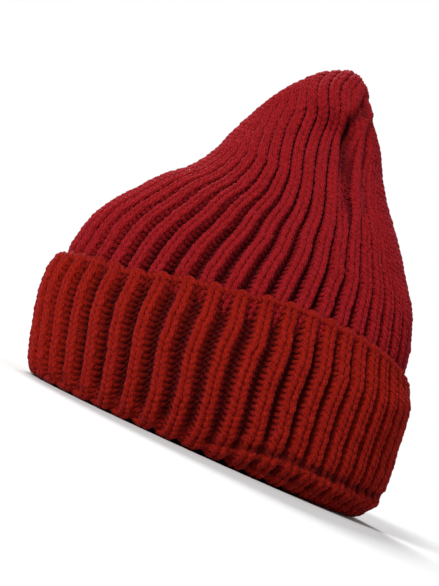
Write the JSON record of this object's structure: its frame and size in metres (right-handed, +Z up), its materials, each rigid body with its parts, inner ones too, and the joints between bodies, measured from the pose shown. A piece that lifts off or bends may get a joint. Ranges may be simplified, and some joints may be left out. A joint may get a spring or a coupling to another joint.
{
  "type": "knit beanie",
  "caption": "Chunky rib-knit beanie that stands on its rim, with a wide turned-up cuff, a domed crown and a soft pointed peak.",
  "frame": {"origin": "centre of the hat's rim, on the surface that it stands on", "axes": "+Z up towards the peak, -Y to the front of the hat, +Y to the back seam, +X to the right seen from the front"},
  "size_m": [0.212, 0.1844, 0.219],
  "materials": {
    "cuff_knit": "thick soft wool yarn in a stretched rib, dark crimson",
    "crown_knit": "thick soft wool yarn in a close rib, dark crimson",
    "sewing_yarn": "the same wool, one strand, matt"
  },
  "bodies": {
    "cuff_body": {"cuff": "cuff_knit", "cast_on_edge": "cuff_knit", "cuff_fold": "cuff_knit", "back_seam_cuff": "sewing_yarn"},
    "crown_body": {"inner_band": "crown_knit", "crown": "crown_knit", "back_seam_crown": "sewing_yarn"},
    "peak_body": {"crown_peak": "crown_knit", "gather_yarn": "sewing_yarn", "gather_knot": "sewing_yarn", "back_seam_peak": "sewing_yarn"}
  },
  "joints": [
    {"name": "cuff_turn", "type": "slide", "parent": "cuff_body", "child": "crown_body", "axis": [0, 0, 1], "range_m": [0, 0.025]},
    {"name": "peak_flop", "type": "hinge", "parent": "crown_body", "child": "peak_body", "pos_m": [0, 0, 0.15], "axis": [-1, 0, 0], "range_deg": [0, 20]}
  ]
}
